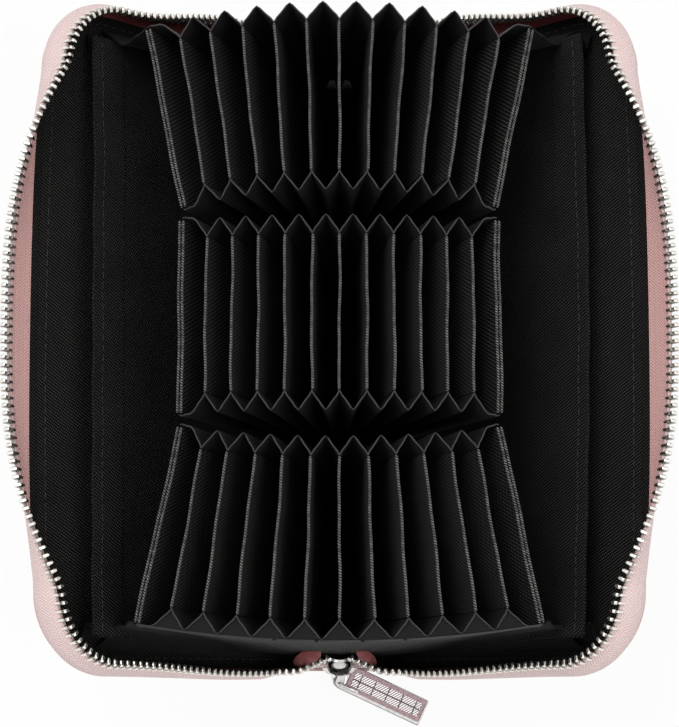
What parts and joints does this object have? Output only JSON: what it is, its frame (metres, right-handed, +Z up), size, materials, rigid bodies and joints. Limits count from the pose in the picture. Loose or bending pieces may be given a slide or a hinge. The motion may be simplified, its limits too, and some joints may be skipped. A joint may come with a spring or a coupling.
{
  "type": "zip-around accordion card wallet",
  "caption": "Long zip-around wallet standing open on its spine, with a fanned accordion of card pockets between two leaning leather covers, long note pockets and a zip pull.",
  "frame": {"origin": "underside of the spine, at its middle, where the open wallet stands", "axes": "+X across the opened wallet to its right cover, +Y along the spine away from the slider, +Z up"},
  "size_m": [0.2006, 0.2333, 0.088],
  "materials": {
    "pink_leather": "soft grain, satin",
    "pink_tape": "woven zip tape",
    "silver_teeth": "polished",
    "black_twill": "fine twill weave",
    "black_rib": "ribbed weave",
    "silver_metal": "polished",
    "mauve_enamel": "glossy enamel"
  },
  "bodies": {
    "spine": {"spine_cover": "pink_leather", "accordion_base": "black_twill", "zip_end_near": "pink_tape", "zip_end_far": "pink_tape", "end_wall_near": "black_rib", "end_wall_far": "black_rib", "pocket_gusset_far_near_end": "black_rib", "pocket_gusset_far_far_end": "black_rib", "pocket_gusset_middle_near_end": "black_rib", "pocket_gusset_middle_far_end": "black_rib", "pocket_gusset_near_near_end": "black_rib", "pocket_gusset_near_far_end": "black_rib"},
    "left_cover": {"cover_left": "pink_leather", "zip_tape_left": "pink_tape", "zip_teeth_left": "silver_teeth"},
    "left_note_panel": {"note_panel_left": "black_twill"},
    "far_left_1": {"divider_far_left_1": "black_twill"},
    "far_left_2": {"divider_far_left_2": "black_twill"},
    "far_left_3": {"divider_far_left_3": "black_twill"},
    "far_left_4": {"divider_far_left_4": "black_twill"},
    "far_left_5": {"divider_far_left_5": "black_twill"},
    "far_left_6": {"divider_far_left_6": "black_twill"},
    "middle_left_1": {"divider_middle_left_1": "black_twill"},
    "middle_left_2": {"divider_middle_left_2": "black_twill"},
    "middle_left_3": {"divider_middle_left_3": "black_twill"},
    "middle_left_4": {"divider_middle_left_4": "black_twill"},
    "middle_left_5": {"divider_middle_left_5": "black_twill"},
    "middle_left_6": {"divider_middle_left_6": "black_twill"},
    "near_left_1": {"divider_near_left_1": "black_twill"},
    "near_left_2": {"divider_near_left_2": "black_twill"},
    "near_left_3": {"divider_near_left_3": "black_twill"},
    "near_left_4": {"divider_near_left_4": "black_twill"},
    "near_left_5": {"divider_near_left_5": "black_twill"},
    "near_left_6": {"divider_near_left_6": "black_twill"},
    "right_cover": {"cover_right": "pink_leather", "zip_tape_right": "pink_tape", "zip_teeth_right": "silver_teeth"},
    "right_note_panel": {"note_panel_right": "black_twill"},
    "far_right_1": {"divider_far_right_1": "black_twill"},
    "far_right_2": {"divider_far_right_2": "black_twill"},
    "far_right_3": {"divider_far_right_3": "black_twill"},
    "far_right_4": {"divider_far_right_4": "black_twill"},
    "far_right_5": {"divider_far_right_5": "black_twill"},
    "far_right_6": {"divider_far_right_6": "black_twill"},
    "middle_right_1": {"divider_middle_right_1": "black_twill"},
    "middle_right_2": {"divider_middle_right_2": "black_twill"},
    "middle_right_3": {"divider_middle_right_3": "black_twill"},
    "middle_right_4": {"divider_middle_right_4": "black_twill"},
    "middle_right_5": {"divider_middle_right_5": "black_twill"},
    "middle_right_6": {"divider_middle_right_6": "black_twill"},
    "near_right_1": {"divider_near_right_1": "black_twill"},
    "near_right_2": {"divider_near_right_2": "black_twill"},
    "near_right_3": {"divider_near_right_3": "black_twill"},
    "near_right_4": {"divider_near_right_4": "black_twill"},
    "near_right_5": {"divider_near_right_5": "black_twill"},
    "near_right_6": {"divider_near_right_6": "black_twill"},
    "slider": {"slider_body": "silver_metal"},
    "ring": {"pull_ring": "silver_metal"},
    "pull": {"pull_tag": "silver_metal", "pull_inlay": "mauve_enamel"}
  },
  "joints": [
    {"name": "left_cover_hinge", "type": "hinge", "parent": "spine", "child": "left_cover", "pos_m": [-0.0168, 0, 0.0007], "axis": [0, 1, 0], "range_deg": [0, 46], "deforming": ["zip_end_near", "zip_end_far", "end_wall_near", "end_wall_far", "pocket_gusset_far_near_end", "pocket_gusset_far_far_end", "pocket_gusset_middle_near_end", "pocket_gusset_middle_far_end", "pocket_gusset_near_near_end", "pocket_gusset_near_far_end"]},
    {"name": "left_note_panel_hinge", "type": "hinge", "parent": "left_cover", "child": "left_note_panel", "pos_m": [-0.02453, 0, 0.00997], "axis": [0, -1, 0], "range_deg": [0, 5.5]},
    {"name": "far_left_1_fold", "type": "hinge", "parent": "spine", "child": "far_left_1", "pos_m": [-0.002, 0.0421, 0.004], "axis": [0, 0.9014, -0.4331], "range_deg": [0, 4.66]},
    {"name": "far_left_2_fold", "type": "hinge", "parent": "far_left_1", "child": "far_left_2", "pos_m": [-0.004, 0.0421, 0.004], "axis": [0, 0.9014, -0.4331], "range_deg": [0, 4.66]},
    {"name": "far_left_3_fold", "type": "hinge", "parent": "far_left_2", "child": "far_left_3", "pos_m": [-0.006, 0.0421, 0.004], "axis": [0, 0.9014, -0.4331], "range_deg": [0, 4.66]},
    {"name": "far_left_4_fold", "type": "hinge", "parent": "far_left_3", "child": "far_left_4", "pos_m": [-0.008, 0.0421, 0.004], "axis": [0, 0.9014, -0.4331], "range_deg": [0, 4.66]},
    {"name": "far_left_5_fold", "type": "hinge", "parent": "far_left_4", "child": "far_left_5", "pos_m": [-0.01, 0.0421, 0.004], "axis": [0, 0.9014, -0.4331], "range_deg": [0, 4.66]},
    {"name": "far_left_6_fold", "type": "hinge", "parent": "far_left_5", "child": "far_left_6", "pos_m": [-0.012, 0.0421, 0.004], "axis": [0, 0.9014, -0.4331], "range_deg": [0, 4.66]},
    {"name": "middle_left_1_fold", "type": "hinge", "parent": "spine", "child": "middle_left_1", "pos_m": [-0.002, 0, 0.004], "axis": [0, 1, 0], "range_deg": [0, 4.04]},
    {"name": "middle_left_2_fold", "type": "hinge", "parent": "middle_left_1", "child": "middle_left_2", "pos_m": [-0.004, 0, 0.004], "axis": [0, 1, 0], "range_deg": [0, 4.04]},
    {"name": "middle_left_3_fold", "type": "hinge", "parent": "middle_left_2", "child": "middle_left_3", "pos_m": [-0.006, 0, 0.004], "axis": [0, 1, 0], "range_deg": [0, 4.04]},
    {"name": "middle_left_4_fold", "type": "hinge", "parent": "middle_left_3", "child": "middle_left_4", "pos_m": [-0.008, 0, 0.004], "axis": [0, 1, 0], "range_deg": [0, 4.04]},
    {"name": "middle_left_5_fold", "type": "hinge", "parent": "middle_left_4", "child": "middle_left_5", "pos_m": [-0.01, 0, 0.004], "axis": [0, 1, 0], "range_deg": [0, 4.04]},
    {"name": "middle_left_6_fold", "type": "hinge", "parent": "middle_left_5", "child": "middle_left_6", "pos_m": [-0.012, 0, 0.004], "axis": [0, 1, 0], "range_deg": [0, 4.04]},
    {"name": "near_left_1_fold", "type": "hinge", "parent": "spine", "child": "near_left_1", "pos_m": [-0.002, -0.0421, 0.004], "axis": [0, 0.9014, 0.4331], "range_deg": [0, 4.66]},
    {"name": "near_left_2_fold", "type": "hinge", "parent": "near_left_1", "child": "near_left_2", "pos_m": [-0.004, -0.0421, 0.004], "axis": [0, 0.9014, 0.4331], "range_deg": [0, 4.66]},
    {"name": "near_left_3_fold", "type": "hinge", "parent": "near_left_2", "child": "near_left_3", "pos_m": [-0.006, -0.0421, 0.004], "axis": [0, 0.9014, 0.4331], "range_deg": [0, 4.66]},
    {"name": "near_left_4_fold", "type": "hinge", "parent": "near_left_3", "child": "near_left_4", "pos_m": [-0.008, -0.0421, 0.004], "axis": [0, 0.9014, 0.4331], "range_deg": [0, 4.66]},
    {"name": "near_left_5_fold", "type": "hinge", "parent": "near_left_4", "child": "near_left_5", "pos_m": [-0.01, -0.0421, 0.004], "axis": [0, 0.9014, 0.4331], "range_deg": [0, 4.66]},
    {"name": "near_left_6_fold", "type": "hinge", "parent": "near_left_5", "child": "near_left_6", "pos_m": [-0.012, -0.0421, 0.004], "axis": [0, 0.9014, 0.4331], "range_deg": [0, 4.66]},
    {"name": "right_cover_hinge", "type": "hinge", "parent": "spine", "child": "right_cover", "pos_m": [0.0168, 0, 0.0007], "axis": [0, -1, 0], "range_deg": [0, 46]},
    {"name": "right_note_panel_hinge", "type": "hinge", "parent": "right_cover", "child": "right_note_panel", "pos_m": [0.02453, 0, 0.00997], "axis": [0, 1, 0], "range_deg": [0, 5.5]},
    {"name": "far_right_1_fold", "type": "hinge", "parent": "spine", "child": "far_right_1", "pos_m": [0.002, 0.0421, 0.004], "axis": [0, -0.9014, 0.4331], "range_deg": [0, 4.66]},
    {"name": "far_right_2_fold", "type": "hinge", "parent": "far_right_1", "child": "far_right_2", "pos_m": [0.004, 0.0421, 0.004], "axis": [0, -0.9014, 0.4331], "range_deg": [0, 4.66]},
    {"name": "far_right_3_fold", "type": "hinge", "parent": "far_right_2", "child": "far_right_3", "pos_m": [0.006, 0.0421, 0.004], "axis": [0, -0.9014, 0.4331], "range_deg": [0, 4.66]},
    {"name": "far_right_4_fold", "type": "hinge", "parent": "far_right_3", "child": "far_right_4", "pos_m": [0.008, 0.0421, 0.004], "axis": [0, -0.9014, 0.4331], "range_deg": [0, 4.66]},
    {"name": "far_right_5_fold", "type": "hinge", "parent": "far_right_4", "child": "far_right_5", "pos_m": [0.01, 0.0421, 0.004], "axis": [0, -0.9014, 0.4331], "range_deg": [0, 4.66]},
    {"name": "far_right_6_fold", "type": "hinge", "parent": "far_right_5", "child": "far_right_6", "pos_m": [0.012, 0.0421, 0.004], "axis": [0, -0.9014, 0.4331], "range_deg": [0, 4.66]},
    {"name": "middle_right_1_fold", "type": "hinge", "parent": "spine", "child": "middle_right_1", "pos_m": [0.002, 0, 0.004], "axis": [0, -1, 0], "range_deg": [0, 4.04]},
    {"name": "middle_right_2_fold", "type": "hinge", "parent": "middle_right_1", "child": "middle_right_2", "pos_m": [0.004, 0, 0.004], "axis": [0, -1, 0], "range_deg": [0, 4.04]},
    {"name": "middle_right_3_fold", "type": "hinge", "parent": "middle_right_2", "child": "middle_right_3", "pos_m": [0.006, 0, 0.004], "axis": [0, -1, 0], "range_deg": [0, 4.04]},
    {"name": "middle_right_4_fold", "type": "hinge", "parent": "middle_right_3", "child": "middle_right_4", "pos_m": [0.008, 0, 0.004], "axis": [0, -1, 0], "range_deg": [0, 4.04]},
    {"name": "middle_right_5_fold", "type": "hinge", "parent": "middle_right_4", "child": "middle_right_5", "pos_m": [0.01, 0, 0.004], "axis": [0, -1, 0], "range_deg": [0, 4.04]},
    {"name": "middle_right_6_fold", "type": "hinge", "parent": "middle_right_5", "child": "middle_right_6", "pos_m": [0.012, 0, 0.004], "axis": [0, -1, 0], "range_deg": [0, 4.04]},
    {"name": "near_right_1_fold", "type": "hinge", "parent": "spine", "child": "near_right_1", "pos_m": [0.002, -0.0421, 0.004], "axis": [0, -0.9014, -0.4331], "range_deg": [0, 4.66]},
    {"name": "near_right_2_fold", "type": "hinge", "parent": "near_right_1", "child": "near_right_2", "pos_m": [0.004, -0.0421, 0.004], "axis": [0, -0.9014, -0.4331], "range_deg": [0, 4.66]},
    {"name": "near_right_3_fold", "type": "hinge", "parent": "near_right_2", "child": "near_right_3", "pos_m": [0.006, -0.0421, 0.004], "axis": [0, -0.9014, -0.4331], "range_deg": [0, 4.66]},
    {"name": "near_right_4_fold", "type": "hinge", "parent": "near_right_3", "child": "near_right_4", "pos_m": [0.008, -0.0421, 0.004], "axis": [0, -0.9014, -0.4331], "range_deg": [0, 4.66]},
    {"name": "near_right_5_fold", "type": "hinge", "parent": "near_right_4", "child": "near_right_5", "pos_m": [0.01, -0.0421, 0.004], "axis": [0, -0.9014, -0.4331], "range_deg": [0, 4.66]},
    {"name": "near_right_6_fold", "type": "hinge", "parent": "near_right_5", "child": "near_right_6", "pos_m": [0.012, -0.0421, 0.004], "axis": [0, -0.9014, -0.4331], "range_deg": [0, 4.66]},
    {"name": "slider_slide", "type": "slide", "parent": "spine", "child": "slider", "axis": [0, 0, 1], "range_m": [0, 0.006]},
    {"name": "ring_swivel", "type": "hinge", "parent": "slider", "child": "ring", "pos_m": [0, -0.1059, 0.0114], "axis": [0, 0, 1], "range_deg": [-130, 0]},
    {"name": "pull_swing", "type": "hinge", "parent": "ring", "child": "pull", "pos_m": [0.00299, -0.1073, 0.0114], "axis": [-0.4226, -0.9063, 0], "range_deg": [0, 55]}
  ],
  "couplings": [
    {"joint": "left_note_panel_hinge", "follows": "left_cover_hinge", "ratio": 0.11956},
    {"joint": "far_left_1_fold", "follows": "left_cover_hinge", "ratio": 0.10131},
    {"joint": "far_left_2_fold", "follows": "left_cover_hinge", "ratio": 0.10131},
    {"joint": "far_left_3_fold", "follows": "left_cover_hinge", "ratio": 0.10131},
    {"joint": "far_left_4_fold", "follows": "left_cover_hinge", "ratio": 0.10131},
    {"joint": "far_left_5_fold", "follows": "left_cover_hinge", "ratio": 0.10131},
    {"joint": "far_left_6_fold", "follows": "left_cover_hinge", "ratio": 0.10131},
    {"joint": "middle_left_1_fold", "follows": "left_cover_hinge", "ratio": 0.08786},
    {"joint": "middle_left_2_fold", "follows": "left_cover_hinge", "ratio": 0.08786},
    {"joint": "middle_left_3_fold", "follows": "left_cover_hinge", "ratio": 0.08786},
    {"joint": "middle_left_4_fold", "follows": "left_cover_hinge", "ratio": 0.08786},
    {"joint": "middle_left_5_fold", "follows": "left_cover_hinge", "ratio": 0.08786},
    {"joint": "middle_left_6_fold", "follows": "left_cover_hinge", "ratio": 0.08786},
    {"joint": "near_left_1_fold", "follows": "left_cover_hinge", "ratio": 0.10131},
    {"joint": "near_left_2_fold", "follows": "left_cover_hinge", "ratio": 0.10131},
    {"joint": "near_left_3_fold", "follows": "left_cover_hinge", "ratio": 0.10131},
    {"joint": "near_left_4_fold", "follows": "left_cover_hinge", "ratio": 0.10131},
    {"joint": "near_left_5_fold", "follows": "left_cover_hinge", "ratio": 0.10131},
    {"joint": "near_left_6_fold", "follows": "left_cover_hinge", "ratio": 0.10131},
    {"joint": "right_note_panel_hinge", "follows": "right_cover_hinge", "ratio": 0.11956},
    {"joint": "far_right_1_fold", "follows": "right_cover_hinge", "ratio": 0.10131},
    {"joint": "far_right_2_fold", "follows": "right_cover_hinge", "ratio": 0.10131},
    {"joint": "far_right_3_fold", "follows": "right_cover_hinge", "ratio": 0.10131},
    {"joint": "far_right_4_fold", "follows": "right_cover_hinge", "ratio": 0.10131},
    {"joint": "far_right_5_fold", "follows": "right_cover_hinge", "ratio": 0.10131},
    {"joint": "far_right_6_fold", "follows": "right_cover_hinge", "ratio": 0.10131},
    {"joint": "middle_right_1_fold", "follows": "right_cover_hinge", "ratio": 0.08786},
    {"joint": "middle_right_2_fold", "follows": "right_cover_hinge", "ratio": 0.08786},
    {"joint": "middle_right_3_fold", "follows": "right_cover_hinge", "ratio": 0.08786},
    {"joint": "middle_right_4_fold", "follows": "right_cover_hinge", "ratio": 0.08786},
    {"joint": "middle_right_5_fold", "follows": "right_cover_hinge", "ratio": 0.08786},
    {"joint": "middle_right_6_fold", "follows": "right_cover_hinge", "ratio": 0.08786},
    {"joint": "near_right_1_fold", "follows": "right_cover_hinge", "ratio": 0.10131},
    {"joint": "near_right_2_fold", "follows": "right_cover_hinge", "ratio": 0.10131},
    {"joint": "near_right_3_fold", "follows": "right_cover_hinge", "ratio": 0.10131},
    {"joint": "near_right_4_fold", "follows": "right_cover_hinge", "ratio": 0.10131},
    {"joint": "near_right_5_fold", "follows": "right_cover_hinge", "ratio": 0.10131},
    {"joint": "near_right_6_fold", "follows": "right_cover_hinge", "ratio": 0.10131}
  ]
}
